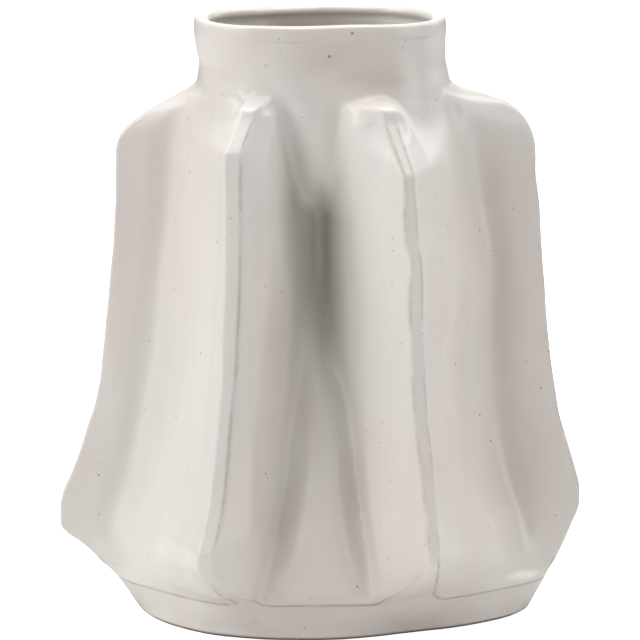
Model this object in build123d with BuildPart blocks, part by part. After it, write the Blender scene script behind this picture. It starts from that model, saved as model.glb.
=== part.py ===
from build123d import *
from math import cos, sin, radians
import os

os.makedirs("parts", exist_ok=True)

MM = 1

# Heights from the table up to the mouth: the foot band, the slabs, the collar and the lip.
overall_height = 300 * MM
seam_height = 16 * MM
collar_rise = 26 * MM
lip_rise = 8 * MM
floor_thickness = 8 * MM
lip_height = overall_height - lip_rise
collar_height = lip_height - collar_rise

# Clay thickness of the slabs, and the cut strip along each fin.
wall = 6 * MM
strip_half = 3.2 * MM
corner_depth = 8.5 * MM

# How far the fins stand from the axis at their widest.
side_reach = 130.5 * MM
front_reach = 108.5 * MM
front_angle = 31.5

# Deepest line of the hollows between the fins, and how far the slabs sag into them.
front_hollow = 66 * MM
side_hollow = 105 * MM
side_hollow_angle = 20
front_sag = 8 * MM
side_sag = 7 * MM

# Neck, lip and foot ovals. The neck and the foot are turned a little, as on a hand-built pot.
neck_half_width = 63 * MM
neck_half_depth = 45 * MM
mouth_half_width = 63.5 * MM
mouth_half_depth = 45.5 * MM
neck_angle = 4
lip_inset = 7 * MM
lip_rounding = 2.4 * MM
foot_half_width = 94 * MM
foot_half_depth = 67 * MM
foot_angle = 6
foot_shift = 4 * MM
oval_power = 2.4
oval_steps = 24

# Heights where the shape is known, as shares of the way from the foot seam up to the collar.
known_shares = (0, 0.048, 0.108, 0.168, 0.312, 0.464, 0.624, 0.756, 0.832, 0.888, 0.936, 0.972, 1)
level_count = 36

# Reach of each fin at those heights, as shares of its widest reach.
left_shares = (0.782, 0.866, 1, 0.969, 0.881, 0.828, 0.798, 0.778, 0.778, 0.762, 0.663, 0.555, 0.49)
right_shares = (0.85, 0.912, 0.969, 1, 0.923, 0.88, 0.856, 0.843, 0.831, 0.816, 0.747, 0.64, 0.5)
front_left_shares = (0.76, 0.87, 1, 0.938, 0.839, 0.78, 0.756, 0.748, 0.745, 0.737, 0.682, 0.58, 0.47)
front_right_shares = (0.755, 0.87, 0.977, 0.972, 0.898, 0.841, 0.823, 0.782, 0.742, 0.65, 0.571, 0.51, 0.47)

# Hollow depths at those heights, as shares, and how much of the sag the slabs have there.
front_hollow_shares = (1, 0.94, 0.88, 0.8, 0.65, 0.545, 0.5, 0.545, 0.636, 0.697, 0.712, 0.697, 0.68)
side_hollow_shares = (0.9, 0.948, 1, 0.99, 0.894, 0.838, 0.79, 0.746, 0.711, 0.679, 0.648, 0.619, 0.6)
side_angle_shares = (0.68, 0.49, 0.41, 0.385, 0.4, 0.425, 0.45, 0.515, 0.62, 0.73, 0.855, 0.945, 0.97)
front_sag_shares = (0, 0.5, 0.9, 1, 0.8, 0.5, 0.4, 0.5, 0.5, 0.3, 0, -0.1, -0.2)
side_sag_shares = (-0.7, -0.2, 0.4, 0.8, 1, 1, 0.9, 0.7, 0.4, 0, -0.3, -0.45, -0.5)

# Fins by name: the turn from the front about the axis, the widest reach and the shares of it.
fins = {
    "front_left": (-front_angle, front_reach, front_left_shares),
    "front_right": (front_angle, front_reach, front_right_shares),
    "right": (90, side_reach, right_shares),
    "back_right": (180 - front_angle, front_reach, front_left_shares),
    "back_left": (180 + front_angle, front_reach, front_right_shares),
    "left": (270, side_reach, left_shares),
}
fin_order = ("front_left", "front_right", "right", "back_right", "back_left", "left")
panel_names = ("front", "right_front", "right_back", "back", "left_back", "left_front")


def ahead(turn, reach):
    """Point at a reach from the axis, turned from the front to the right."""
    return Vector(reach * sin(radians(turn)), -reach * cos(radians(turn)))


def oval_point(turn, half_width, half_depth, oval_angle, shift):
    """Point of a squarish oval in the direction of the turn, before its shift to the side."""
    across = abs(sin(radians(turn - oval_angle))) / half_width
    along = abs(cos(radians(turn - oval_angle))) / half_depth
    reach = (across**oval_power + along**oval_power) ** (-1 / oval_power)
    return ahead(turn, reach) + Vector(shift, 0)


def inward(step):
    """Direction to the inside, square to a step that goes round with the turn."""
    return Vector(-step.Y, step.X).normalized()


def beside(turn, reach, side):
    """End of the cut strip of a fin, before it (-1) or after it (1) in the turn."""
    return ahead(turn, reach) + ahead(turn + 90, strip_half) * side


def stretch(start, end, shares, sag):
    """Points between two others, sagging to the inside."""
    step = end - start
    return [start + step * share + inward(step) * (sag * 4 * share * (1 - share)) for share in shares]


def fin_at(number):
    """Turn, widest reach and shares of the fin with this number, counted round the vase."""
    turn, reach, shares = fins[fin_order[number % len(fin_order)]]
    return turn, reach, shares


def spread(number):
    """Turns of a panel's outline points, for the levels where it follows an oval."""
    first = fin_at(number)[0]
    last = fin_at(number + 1)[0]
    last = last + 360 if last < first else last
    if number % 3 == 0:
        shares = (0.22, 0.4, 0.5, 0.6, 0.78)
    elif number % 3 == 1:
        shares = (0.25, 0.48, 0.69, 0.86)
    else:
        shares = (0.14, 0.31, 0.52, 0.75)
    return [first + (last - first) * share for share in shares]


def known(shares, height_share):
    """Value of a table of shares at a share of the height, between the known heights."""
    for low, high in zip(range(len(shares)), range(1, len(shares))):
        if height_share <= known_shares[high]:
            break
    way = (height_share - known_shares[low]) / (known_shares[high] - known_shares[low])
    return shares[low] + (shares[high] - shares[low]) * way


def slab_outline(number, height_share):
    """Outer points of a panel at a share of the height, from the strip of one fin to that of the next."""
    first_turn, first_reach, first_shares = fin_at(number)
    last_turn, last_reach, last_shares = fin_at(number + 1)
    start = beside(first_turn, first_reach * known(first_shares, height_share), 1)
    end = beside(last_turn, last_reach * known(last_shares, height_share), -1)
    if number % 3 == 0:
        middle = (first_turn + last_turn) / 2
        hollow = ahead(middle, front_hollow * known(front_hollow_shares, height_share))
        sag = front_sag * known(front_sag_shares, height_share)
        near = stretch(start, hollow, (0.4, 0.75), sag)
        far = stretch(hollow, end, (0.25, 0.6), sag)
        return [start, *near, hollow, *far, end]
    away = side_hollow_angle * known(side_angle_shares, height_share)
    reach = side_hollow * known(side_hollow_shares, height_share)
    sag = side_sag * known(side_sag_shares, height_share)
    if number % 3 == 1:
        hollow = ahead(last_turn - away, reach)
        return [start, *stretch(start, hollow, (0.35, 0.7), sag), hollow, *stretch(hollow, end, (0.5,), 0), end]
    hollow = ahead(first_turn + away, reach)
    return [start, *stretch(start, hollow, (0.5,), 0), hollow, *stretch(hollow, end, (0.3, 0.65), sag), end]


def oval_outline(number, half_width, half_depth, oval_angle, shift):
    """Outer points of a panel's share of an oval."""
    first_turn = fin_at(number)[0]
    last_turn = fin_at(number + 1)[0]
    first_reach = oval_point(first_turn, half_width, half_depth, oval_angle, 0).length
    last_reach = oval_point(last_turn, half_width, half_depth, oval_angle, 0).length
    between = [oval_point(turn, half_width, half_depth, oval_angle, shift) for turn in spread(number)]
    start = beside(first_turn, first_reach, 1) + Vector(shift, 0)
    end = beside(last_turn, last_reach, -1) + Vector(shift, 0)
    return [start, *between, end]


def panel_outline(number, height_share):
    """Outer points of a panel at a share of the height; the top follows the neck."""
    if height_share < 1:
        return slab_outline(number, height_share)
    return oval_outline(number, neck_half_width, neck_half_depth, neck_angle, 0)


def inner_outline(outer, first_turn, last_turn):
    """Inner points behind an outer outline, ending on the planes of the two fins."""
    points = []
    for before, point, after in zip(outer, outer[1:], outer[2:]):
        points.append(point + inward(after - before) * wall)
    first = ahead(first_turn, fin_tip(outer[0], first_turn) - corner_depth)
    last = ahead(last_turn, fin_tip(outer[-1], last_turn) - corner_depth)
    return [first, *points, last]


def fin_tip(corner, turn):
    """Reach of a fin whose strip ends at this corner."""
    return corner.dot(ahead(turn, MM)) / MM


def panel_section(number, height_share):
    """Face across one panel at a share of the height."""
    outer = panel_outline(number, height_share)
    first_turn = fin_at(number)[0]
    last_turn = fin_at(number + 1)[0]
    inner = inner_outline(outer, first_turn, last_turn)
    first_tip = ahead(first_turn, fin_tip(outer[0], first_turn))
    last_tip = ahead(last_turn, fin_tip(outer[-1], last_turn))
    with BuildSketch(Plane.XY.offset(seam_height + (collar_height - seam_height) * height_share)) as section:
        with BuildLine():
            Line(inner[0], first_tip)
            Line(first_tip, outer[0])
            Spline(*outer)
            Line(outer[-1], last_tip)
            Line(last_tip, inner[-1])
            Spline(*reversed(inner))
        make_face()
    return section.sketch.face()


def ring_face(height, outlines):
    """Face inside six outlines that are joined end to end, at a height."""
    with BuildSketch(Plane.XY.offset(height)) as ring:
        with BuildLine():
            for outline, following in zip(outlines, outlines[1:] + outlines[:1]):
                Spline(*outline)
                if (following[0] - outline[-1]).length > strip_half:
                    Line(outline[-1], following[0])
        make_face()
    return ring.sketch.face()


def oval_face(height, half_width, half_depth, oval_angle, shift):
    """Face of a whole oval at a height."""
    turns = [360 * step / oval_steps for step in range(oval_steps)]
    with BuildSketch(Plane.XY.offset(height)) as oval:
        with BuildLine():
            Spline(*[oval_point(turn, half_width, half_depth, oval_angle, shift) for turn in turns], periodic=True)
        make_face()
    return oval.sketch.face()


def neck_outlines(half_width, half_depth):
    """Six outlines round the neck, of this half width and half depth."""
    return [oval_outline(number, half_width, half_depth, neck_angle, 0) for number in range(len(fin_order))]


def inside_outlines(outlines):
    """Six inner outlines behind six outer ones, meeting on the planes of the fins."""
    insides = []
    for number, outer in enumerate(outlines):
        insides.append(inner_outline(outer, fin_at(number)[0], fin_at(number + 1)[0]))
    return insides


# The six slabs of the body. Each one runs from the middle of one fin to the middle of the next.
for number, name in enumerate(panel_names):
    with BuildPart() as panel:
        loft([panel_section(number, level / (level_count - 1)) for level in range(level_count)])
    panel.part.label = name + "_panel"
    export_step(panel.part, "parts/" + name + "_panel.step")

# The floor slab, which stands on the table inside the foot band.
floor_face = oval_face(0, foot_half_width - wall, foot_half_depth - wall, foot_angle, foot_shift)
with BuildPart() as base_slab:
    extrude(floor_face, amount=floor_thickness)
base_slab.part.label = "base_slab"
export_step(base_slab.part, "parts/base_slab.step")

# The foot band, from the oval on the table up to the lower ends of the slabs.
foot_outlines = [
    oval_outline(number, foot_half_width, foot_half_depth, foot_angle, foot_shift) for number in range(len(fin_order))
]
slab_ends = [panel_outline(number, 0) for number in range(len(fin_order))]
with BuildPart() as foot_band:
    loft([ring_face(0, foot_outlines), ring_face(seam_height, slab_ends)])
    extrude(floor_face, amount=seam_height, mode=Mode.SUBTRACT)
foot_band.part.label = "foot_band"
export_step(foot_band.part, "parts/foot_band.step")

# The collar, from the tops of the slabs up to the lip.
collar_middle = (collar_height + lip_height) / 2
neck_ring = neck_outlines(neck_half_width, neck_half_depth)
mouth_ring = neck_outlines(mouth_half_width, mouth_half_depth)
with BuildPart() as neck_collar:
    loft([ring_face(collar_height, neck_ring), ring_face(collar_middle, neck_ring), ring_face(lip_height, mouth_ring)])
    neck_inside = ring_face(collar_height, inside_outlines(neck_ring))
    mouth_inside = ring_face(lip_height, inside_outlines(mouth_ring))
    loft([neck_inside, mouth_inside], mode=Mode.SUBTRACT)
neck_collar.part.label = "neck_collar"
export_step(neck_collar.part, "parts/neck_collar.step")

# The lip, a thicker ring with a rounded top, laid on the collar.
lip_face = oval_face(lip_height, mouth_half_width, mouth_half_depth, neck_angle, 0)
mouth_face = oval_face(lip_height, mouth_half_width - lip_inset, mouth_half_depth - lip_inset, neck_angle, 0)
with BuildPart() as rim_lip:
    extrude(lip_face, amount=overall_height - lip_height)
    extrude(mouth_face, amount=overall_height - lip_height, mode=Mode.SUBTRACT)
    fillet(rim_lip.edges().group_by(Axis.Z)[-1], radius=lip_rounding)
rim_lip.part.label = "rim_lip"
export_step(rim_lip.part, "parts/rim_lip.step")
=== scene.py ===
"""A glazed stoneware vase with six fins, dressed over its solid model, and the studio it stands in."""

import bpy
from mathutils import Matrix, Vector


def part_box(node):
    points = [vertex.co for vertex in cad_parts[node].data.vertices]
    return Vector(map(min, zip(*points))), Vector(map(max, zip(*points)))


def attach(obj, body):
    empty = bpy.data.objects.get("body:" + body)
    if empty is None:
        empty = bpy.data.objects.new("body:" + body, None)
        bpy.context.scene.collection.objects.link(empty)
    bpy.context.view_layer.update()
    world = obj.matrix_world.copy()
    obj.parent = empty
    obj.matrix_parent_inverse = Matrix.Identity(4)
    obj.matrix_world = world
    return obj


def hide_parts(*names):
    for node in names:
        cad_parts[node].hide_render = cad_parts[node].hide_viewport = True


bl_info = {
    "name": "Finned Slab Vase",
    "version": (1, 0, 0),
    "blender": (4, 5, 0),
    "location": "3D View > Sidebar > Vase",
    "description": "Builds a stoneware vase with six fins and a speckled glaze over its solid model",
    "category": "Object",
}

from bisect import bisect_right
from math import atan2, copysign, cos, exp, hypot, pi, radians, sin

import bpy
from mathutils import Vector, noise

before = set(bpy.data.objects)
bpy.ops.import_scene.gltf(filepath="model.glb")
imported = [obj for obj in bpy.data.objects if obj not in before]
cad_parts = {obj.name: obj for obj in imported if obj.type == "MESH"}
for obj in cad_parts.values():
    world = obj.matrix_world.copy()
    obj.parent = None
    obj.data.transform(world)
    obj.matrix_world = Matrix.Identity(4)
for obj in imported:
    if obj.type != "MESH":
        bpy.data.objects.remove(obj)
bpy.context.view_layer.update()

MM = 0.001

# Heights of the joins, read from the solid model.
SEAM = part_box("foot_band")[1].z
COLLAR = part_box("neck_collar")[0].z
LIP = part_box("rim_lip")[0].z
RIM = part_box("rim_lip")[1].z
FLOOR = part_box("base_slab")[1].z

# Turn of the two front fins from the front, in degrees.
FRONT_TURN = 31.5

# Reach of each fin from the axis by height, in millimetres.
LEFT_FIN = (
    (0, 90.5), (3.2, 92.3), (8.4, 96.6), (13.5, 100.3), (18.7, 105), (24, 110), (29, 114.8), (34.2, 120.5),
    (38.6, 127), (42.5, 130), (48, 130.2), (54, 129.9), (60, 128.3), (70, 124.2), (80.4, 120.4),
    (90.6, 117), (101, 113.6), (111, 111), (121, 109), (131, 107.8), (152, 105.7), (172, 104.1),
    (192, 102.4), (212, 101.3), (232, 100.8), (237.5, 99.6), (242.5, 96.2), (247.2, 91.1), (252.2, 84.2),
    (257.2, 75.8), (262.2, 67.6), (267.2, 62), (272, 60.6),
)
RIGHT_FIN = (
    (0, 103.5), (3.2, 106.2), (8.4, 109), (13.5, 111.3), (18.7, 114.6), (24, 117.6), (34.2, 122.4),
    (44.5, 126.6), (49.6, 128.7), (54.8, 130), (60, 130.1), (70, 127.9), (80.4, 124.8), (90.6, 121.7),
    (101, 119.2), (121, 115.9), (141.5, 113.2), (162, 111.6), (182, 110.2), (202, 109.2), (212, 108.1),
    (222, 107), (233, 106.6), (238, 105.8), (242.6, 104.2), (247.2, 101.8), (252.2, 97.5), (257.2, 90.2),
    (260, 83), (262.4, 76.6), (264.8, 70.3), (267.2, 66), (272, 62.6),
)
FRONT_LEFT_FIN = (
    (0, 70), (16, 80), (24.5, 93.5), (34, 102.8), (41, 106.6), (46, 107), (56, 102.8), (72, 96.6),
    (87, 93.2), (113, 88.2), (136, 84.6), (160, 82.4), (194, 80.9), (219, 80.4), (238, 80.7), (241, 80.4),
    (242.6, 79.4), (255.4, 69.4), (257, 68.4), (260.5, 66.4), (262.2, 63.4), (264, 58), (266, 55),
    (270, 53),
)
FRONT_RIGHT_FIN = (
    (0, 66), (16, 75), (25, 87), (31, 95), (40, 103), (46, 105.6), (52, 105.7), (60, 104.6), (77, 101.2),
    (92, 98.4), (115, 93.2), (139, 90.6), (161, 89.2), (188, 88.2), (197, 86), (204, 84.4), (214, 83.6),
    (224, 82.8), (230, 82.4), (232.4, 81), (252, 67), (254.4, 65.6), (259, 64.2), (260.8, 62.6),
    (262, 58.4), (263.2, 54), (265, 51.2), (270, 48.6),
)

# Width of the cut strip by height, from the fin's tip towards the slab before it and the slab after it,
# in millimetres.
SIDE_STRIP = (((0, 3.2), (270, 3.2)), ((0, 3.2), (270, 3.2)))
LEFT_STRIP = (
    ((0, 3), (30, 3.2), (60, 3.3), (110, 3), (150, 3.5), (214, 3.6), (238, 3.6), (250, 3.1), (270, 3)),
    ((0, 3), (30, 3.2), (60, 3.6), (110, 3.1), (150, 3.7), (214, 3.6), (238, 3.8), (250, 3.3), (270, 3)),
)
RIGHT_STRIP = (
    (
        (0, 2.6), (44, 2.4), (60, 2.7), (112, 3.1), (155, 3.1), (176, 3), (190, 1.9), (200, 3.4), (212, 3.4),
        (222, 2.2), (236, 2.4), (250, 2.6), (270, 3),
    ),
    (
        (0, 2.6), (44, 2.4), (60, 2.6), (112, 3.3), (155, 3.2), (176, 3.2), (190, 2.9), (200, 3.1),
        (212, 2.9), (222, 2.2), (236, 2.6), (250, 2.6), (270, 3),
    ),
)

# Fins in their order round the vase: turn from the front and turn that the strip faces, in degrees, then
# the reach and the two widths of the strip.
FINS = (
    (-FRONT_TURN, -4, FRONT_LEFT_FIN, LEFT_STRIP),
    (FRONT_TURN, 8, FRONT_RIGHT_FIN, RIGHT_STRIP),
    (90, 90, RIGHT_FIN, SIDE_STRIP),
    (180 - FRONT_TURN, 176, FRONT_LEFT_FIN, LEFT_STRIP),
    (180 + FRONT_TURN, 188, FRONT_RIGHT_FIN, RIGHT_STRIP),
    (270, 270, LEFT_FIN, SIDE_STRIP),
)
SLABS = ("front", "right_front", "right_back", "back", "left_back", "left_front")

# Folds of a broad slab by height: across and out from the axis, at the left knee, the left valley, the
# swell in the middle, the right valley and the right knee.
BROAD_FOLDS = (
    (0, -38, 64, -28, 65.5, 0, 67, 26, 66, 38, 62),
    (16, -35.6, 71.5, -28.6, 68, 0, 67.6, 27, 67.8, 35, 69),
    (24, -34, 74.6, -28.4, 66.4, 0, 68.6, 26.4, 67, 31.6, 72),
    (36, -32.4, 77.5, -25, 62.4, 0, 67.6, 25.2, 63, 29.3, 73.4),
    (50, -31.8, 77, -21.8, 55, 0, 64.5, 22.2, 57.6, 27.6, 72.4),
    (72, -31.6, 73.4, -17, 46, 1, 56, 18.4, 48, 25, 67),
    (96, -31.4, 69.8, -14, 40.5, 2, 47, 15.4, 42.4, 24, 62.5),
    (112, -29.6, 67.4, -11, 36, 2, 40.6, 13, 38.6, 23.4, 60),
    (132, -27.6, 65.2, -8.6, 31, 1.6, 31, 9, 35, 23.2, 58.2),
    (153, -25.6, 63, -7, 25.6, 1.2, 21.6, 7.6, 31.4, 22.8, 56),
    (172, -23.6, 61.8, -6, 23, 0.6, 16.4, 6, 28, 20.4, 54),
    (202, -23.4, 60.6, -6.4, 25, 0.4, 17, 5.6, 29, 17.6, 52.6),
    (213, -23.4, 60.4, -9.6, 28.6, 0, 29, 6, 35.4, 16.6, 52.2),
    (224, -23.2, 60, -12, 34.4, -1, 38.2, 7, 40.2, 15.8, 52),
    (238, -23, 59, -15.6, 40, -2, 43.6, 8.4, 43.2, 15.2, 52),
    (250, -22.3, 56.2, -18.6, 44.2, -3, 45.2, 10.4, 44.6, 15.8, 51.6),
    (257, -22.6, 52.4, -20, 46, -3, 45.4, 11.4, 44.8, 17.4, 50.6),
    (261.4, -22.6, 47.6, -19.6, 45.8, -2, 44.8, 11.6, 44.2, 18.2, 48.4),
    (263, -22.6, 46.8, -19.5, 45.6, 0, 44.6, 10.5, 44, 16.5, 44.6),
    (270, -22.6, 45.6, -19.5, 45, 0, 44, 10.5, 43.6, 15.5, 43.5),
)

# Crease of the slabs beside a side fin by height: along the fin and out from it, and the sag beyond the
# crease.
LEFT_CREASE = (
    (0, 84, 22, -3), (16, 90, 20, -3), (28, 95, 14, -1), (40, 98, 9.5, 1), (46, 98, 8.4, 2),
    (58, 95, 7.4, 3.4), (80, 89.5, 6.8, 4), (94, 86.4, 6.4, 4), (105, 84.6, 6.2, 4), (132, 79.5, 6, 3.4),
    (146, 78, 6, 3), (176, 75, 6, 2.6), (212, 70.6, 6.4, 2.4), (235, 69, 7.6, 2.4), (250, 67, 10.5, 1.6),
    (260, 62, 14, 0), (266, 58.4, 17, -1.6), (272, 56.5, 18.6, -2.4),
)
RIGHT_CREASE = (
    (0, 94, 24, -3), (16, 98, 23, -3), (28, 99.5, 18, -2), (43, 98, 13, 0), (58, 93.4, 10.4, 2.4),
    (76, 88, 9.2, 3.4), (94, 84.8, 8.8, 3.8), (110, 83, 8.6, 4), (140, 81, 8.6, 4), (158, 81.4, 8.6, 3.6),
    (176, 82.6, 8.6, 3.4), (192, 80.6, 8.8, 3.4), (212, 76.6, 9.8, 3), (232, 72.4, 12.4, 2),
    (250, 68, 16, 0.6), (260, 63.4, 18.4, -1), (266, 59.6, 19.2, -2), (272, 57, 19.6, -2.5),
)

# Outline of the foot on the table: turn in degrees and reach from the axis, all the way round.
FOOT_RIM = (
    (-180, 68), (-155, 69), (-135, 72.5), (-115, 79), (-100, 86.5), (-90, 90.2), (-78, 88), (-66, 85.2),
    (-56, 82.8), (-44, 80.4), (-32, 76.8), (-20, 73.6), (-9, 71.2), (10, 69.8), (22, 69), (31, 69.2),
    (44, 72.8), (55, 79.8), (66.6, 88.4), (80, 99.4), (90, 104.4), (100, 104.4), (112, 97), (126, 86),
    (140, 77), (155, 71), (180, 68),
)

# Outline of the foot at the seam: turn in degrees and reach from the axis.
FOOT_TOP = (
    (-180, 68.5), (-160, 70.6), (-145, 75), (-130, 81), (-115, 89.5), (-103, 98.6), (-92, 102.2), (-80, 97),
    (-66, 88.4), (-55, 84.4), (-44, 82.4), (-32, 79.4), (-22, 74.6), (-11, 69.2), (0, 67.8), (11, 68.6),
    (22, 71.4), (31, 74.8), (42, 79.2), (52, 83.6), (62, 89.6), (72, 98), (80, 107), (88, 112.4), (95, 112),
    (104, 106), (116, 94), (130, 84), (145, 76.5), (160, 71), (180, 68.5),
)

# Outside of the neck by height: half width, half depth, shift to the right and squareness.
NECK_OVAL = (
    (258, 63, 45.2, 1.2, 2.5), (266, 62.4, 45, 1.4, 2.45), (272, 61.5, 44.6, 1.2, 2.4),
    (277, 60.7, 44.3, 0.8, 2.4), (282, 61.1, 44.1, 0.2, 2.45), (287, 61.5, 44, -0.2, 2.5),
    (292, 61.9, 44, -0.3, 2.6), (300, 61.6, 44, -0.3, 2.65),
)
# How far the neck's oval is turned to the right, in degrees.
NECK_TURN = 6

# Flatter places round the neck: turn and width in degrees, and depth in millimetres.
NECK_CUTS = ((-128, 16, 4.4), (122, 14, 2), (-62, 13, 1.4))

# Dabs of a finger or a rib: across, height, half width, half height, lean and how far out, in
# millimetres. The back has the same ones, turned round.
DABS = (
    (5, 285, 9, 11, 0.5, -1.7), (21, 275, 10, 6, 0.7, -1.8), (-20, 281, 9, 14, 0.3, 0.9),
    (45, 283, 9, 15, 0, 0.7), (-12, 263, 7, 7, -0.5, 1.2), (32, 270, 9, 4, 0, -1.2),
    (-44, 274, 8, 9, 0, -0.4), (-38.4, 263.5, 2.4, 2.6, 0, 0.9), (-25.7, 257.6, 2, 2.6, 0, 0.8),
    (30.5, 262.2, 7, 1.5, 0, 0.9), (22.4, 254, 3, 2.4, 0.4, 0.8), (42, 252, 1.8, 4, -0.3, 0.8),
    (42.8, 245, 1.5, 2.4, 0, 0.7), (-47.6, 233, 2.4, 8, 0, 0.4),
)

# Broad places where the glaze lies thin and the clay shows through rose: across, height, half width, half
# height and how thin, in millimetres and shares. Below zero an entry is painted shade: a grey laid into the
# deep hollow of the broad slabs and beside the fins, where shadow falls. The back has the same ones, turned
# round.
THIN_AND_SHADED_PLACES = (
    (6, 286, 26, 16, 0.9), (28, 274, 16, 12, 0.8), (95, 150, 12, 62, 1.0), (103, 80, 12, 26, 0.8),
    (87, 226, 10, 20, 0.4), (-96, 150, 9, 70, 0.35), (-112, 74, 14, 20, 0.4), (-30, 150, 9, 90, 0.4),
    (-34, 60, 10, 36, 0.5), (-22, 150, 6, 40, 0.5), (0, 36, 18, 20, 0.25), (30, 8, 50, 10, 0.4),
    (-10, 110, 14, 26, 0.5), (2, 196, 7, 30, -0.55), (1.2, 182, 2.2, 40, -0.35), (-14, 208, 8, 44, -0.55),
    (3, 154, 10, 36, -0.6), (8, 120, 9, 34, -0.35), (-16, 92, 8, 40, -0.2), (98, 180, 12, 40, -0.2),
    (44, 70, 10, 60, -0.1),
)

# The slabs come in three kinds, which repeat after half a turn. A slab's number, divided by 3, leaves 0
# for the broad one, 1 for the one that ends at a side fin and 2 for the one that starts there.
BROAD = 0
FROM_SIDE = 2

# Width of the open part of a slab, for the number of its columns.
BROAD_WIDTH = 0.105
SIDE_WIDTH = 0.098

# Heights between which the fins turn over into the shoulder, and how far up and down the edges of a fin
# are averaged below it, so that a dent in an edge doesn't run across the slab.
SHOULDER = (0.246, 0.256)
EDGE_BLUR = 0.007

# How far from the middle of a broad slab the flanks of its swell lie, as a share of the way to the
# valleys, with what comes on at the foot and off in the deep hollow and the heights between which each
# changes.
FLANK = 0.32
FOOT_FLANK = (0.14, 0.04, 0.1)
HOLLOW_FLANK = (0.16, 0.14, 0.17)
# Extra rise of the flanks, and the heights between which it goes.
FLANK_RISE = (0.1, 0.12, 0.18)

# Swell of the slabs that end at a side fin, and the heights between which it comes and goes.
SIDE_SWELL = 0.0016
SIDE_SWELL_COMES = (0.03, 0.07)
SIDE_SWELL_GOES = (0.2, 0.24)

# Points of the fine line that a slab's outside is measured along, points on the flat of a strip and round
# its arris, and the largest share of the flat that the rounding takes.
DENSE_POINTS = 201
STRIP_STEPS = 3
CORNER_STEPS = 5
ROUNDED_SHARE = 0.9

# Rounded lower corners of a slab by its kind, where it starts and where it ends: across and up, and how
# fast a tongue of the foot's clay beside the corner widens downwards from its top.
CORNERS = (
    ((0.023, 0.016, 0.0), (0.015, 0.026, 0.0)),
    ((0.006, 0.006, 0.58), (0.007, 0.010, 0.0)),
    ((0.007, 0.010, 0.0), (0.001, 0.001, 0.0)),
)
TONGUE_TOP = 0.046
TONGUE_SLOPE = 0.3

# The slabs' outline over the join with the foot, how far back the foot's clay lies past it, and where
# that step comes in: past the outline, up from the table and away from the side fins.
OUTLINE_LIFT = 0.0012
STEP = 0.0016
STEP_PAST = (-0.0004, 0.0007)
STEP_UP = (0.0, 0.006)
STEP_ASIDE = (0.004, 0.03)

# The seam's mark, in millimetres: its value on the seam, how far past the outline the seam lies, and how
# far the mark is pushed away from it where no seam shows.
SEAM_ZERO = 10
SEAM_PAST = 0.3
SEAM_HIDDEN = 6
# Where the seam shows: from the arris in points, and on a broad slab from the edge of its open part.
SEAM_FROM_ARRIS = (-1.5, 0.5)
SEAM_FROM_EDGE = (0.0, 0.0012)

# Broken glaze on the arrises: its spread in points, its share on the slabs that start at a side fin, and
# the heights between which it comes and goes.
BROKEN_SPREAD = 1.5
FAINT_SHARE = 0.3
BROKEN_COMES = (0.044, 0.058)
BROKEN_GOES = (0.250, 0.257)
# Groove beside the arris of a broad slab: its depth, and its place and spread in points.
GROOVE = 0.0005
GROOVE_PLACE = 1
GROOVE_SPREAD = 0.9

# How much wider the arrises are rounded at the seam, and from how far over it they narrow again.
WIDE_ARRIS = 1.6
WIDE_ARRIS_TOP = 0.006

# Waves of the hand: strength, fineness round the vase and up it, and where in the noise they start.
HAND_WAVES = ((0.8, 26, 17, 0, 0), (0.13, 95, 13, 7, 0), (0.42, 70, 62, 0, 11))
# Strength of the waves on the table, and the height over which they grow to their full strength.
CALM_FOOT = 0.35
CALM_TOP = 0.03

# Height over the seam by which a slab has left the foot's form, and up to where the foot's flare runs on,
# as a share of the seam's height.
FOOT_BLEND = 0.008
FLARE_END = 1.3
# Heights between which the foot's clay goes from bare to glazed.
BARE_EDGE = (0.0004, 0.0016)

# Heights between which a slab turns into the neck, and how much earlier it starts in the open part of a
# side slab, with the shares of the way from its side fin between which that comes and goes.
NECK_STARTS = 0.2605
NECK_DONE = 0.2695
EARLY_NECK = 0.026
EARLY_COMES = (0.26, 0.5)
EARLY_GOES = (0.78, 0.96)

# How far the inside stays behind the tips of the fins, and half of the least gap between two inner
# sheets.
FIN_DEPTH = 0.0085
HALF_GAP = 0.0002

# Rows of a slab: share of the spacing that they keep near its ends, the heights below and over which they
# do, and how close to the collar the last but one may come.
FINE_SHARE = 0.6
FINE_BELOW = 0.046
FINE_ABOVE = 0.236
LAST_ROW = 0.0004

# How many widths away a dab of the hand, or a thin or painted-shade place, is no longer felt.
DAB_END = 2.4
THIN_END = 2.2

# Rounded rim of the foot on the table: height and how far it is tucked in, and the lowest height whose
# form it takes.
FOOT_TUCKS = ((0.0, 0.0022), (0.0002, 0.0011), (0.0009, 0.0003))
FOOT_START = 0.0001
# Height of the lowest row of the foot's inside over the table.
UNDERSIDE = 0.0004

# Rows of the foot's outside and of the collar's two sides, and points round the floor slab.
FOOT_ROWS = 15
COLLAR_ROWS = 24
COLLAR_INSIDE_ROWS = 12
FLOOR_POINTS = 180

# Uneven lip: room kept under the top of the solid model, how much its height and its thickness change,
# and the noise that each follows, by its fineness and where it starts.
LIP_ROOM = 0.0004
LIP_SWAY = 0.0007
LIP_CHANGE = 0.10
SWAY_NOISE = (1.6, 3.1)
CHANGE_NOISE = (2.2, 9.4)

# Points closer together than this are one, and faces at less than this angle are shaded as one surface.
WELD = 0.000002
SMOOTH_BELOW = radians(48)


def steady_slopes(heights, values):
    """Slopes of a smooth line through values that never swings past them."""
    steps = [(b - a) / (q - p) for p, q, a, b in zip(heights, heights[1:], values, values[1:])]
    slopes = [steps[0]]
    for before, after in zip(steps, steps[1:]):
        slopes.append(0.0 if before * after <= 0 else 2 * before * after / (before + after))
    return slopes + [steps[-1]]


def hermite(way, span):
    """Weights of the start, the end and their two slopes, part of the way along a span."""
    rest = 1 - way
    start, end = (1 + 2 * way) * rest * rest, way * way * (3 - 2 * way)
    return start, end, span * way * rest * rest, -span * way * way * rest


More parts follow.
